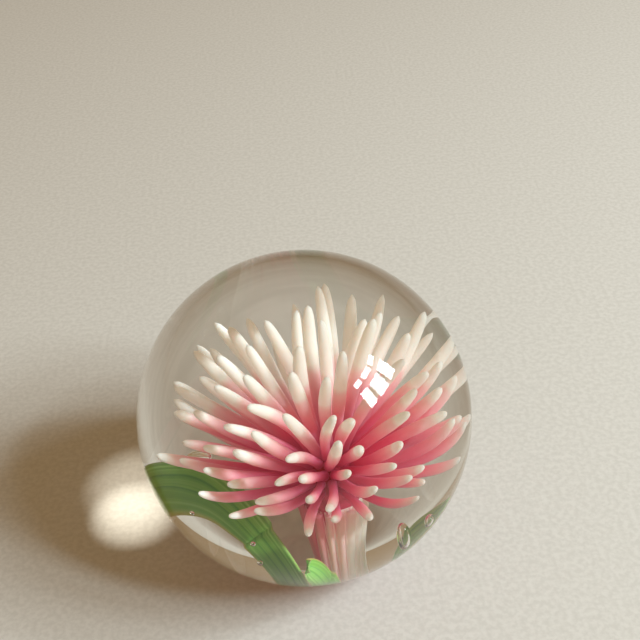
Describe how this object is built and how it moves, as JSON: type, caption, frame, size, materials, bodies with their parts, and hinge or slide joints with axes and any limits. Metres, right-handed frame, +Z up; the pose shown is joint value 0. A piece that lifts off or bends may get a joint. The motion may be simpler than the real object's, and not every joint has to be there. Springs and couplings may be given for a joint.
{
  "type": "paperweight",
  "caption": "Round clear glass paperweight with a flat base; a spiky pink and white glass flower on a fluted stem with green leaves is sealed inside. Holds papers down.",
  "frame": {"origin": "middle of the ground flat the ball stands on", "axes": "+Z up through the ball, -Y towards the front (the side seen), +X to the right"},
  "size_m": [0.064, 0.064, 0.06],
  "materials": {
    "glass": "polished clear glass, faint grey-green",
    "heart": "deep rose glass, almost opaque",
    "petal": "opaque glass, deep rose at the root, pink, cream at the tip",
    "stem": "opaque cream and rose glass",
    "flutes": "opaque rose and cream streaked glass",
    "leaf": "streaked green glass"
  },
  "bodies": {
    "root": {"glass_body": "glass", "flower_heart": "heart", "petals_crown": "petal", "petals_ring_2": "petal", "petals_ring_3": "petal", "petals_ring_4": "petal", "petals_ring_5": "petal", "petals_ring_6": "petal", "stem_core": "stem", "stem_flutes": "flutes", "leaf_left": "leaf", "leaf_right": "leaf", "leaf_front": "leaf"}
  },
  "joints": []
}
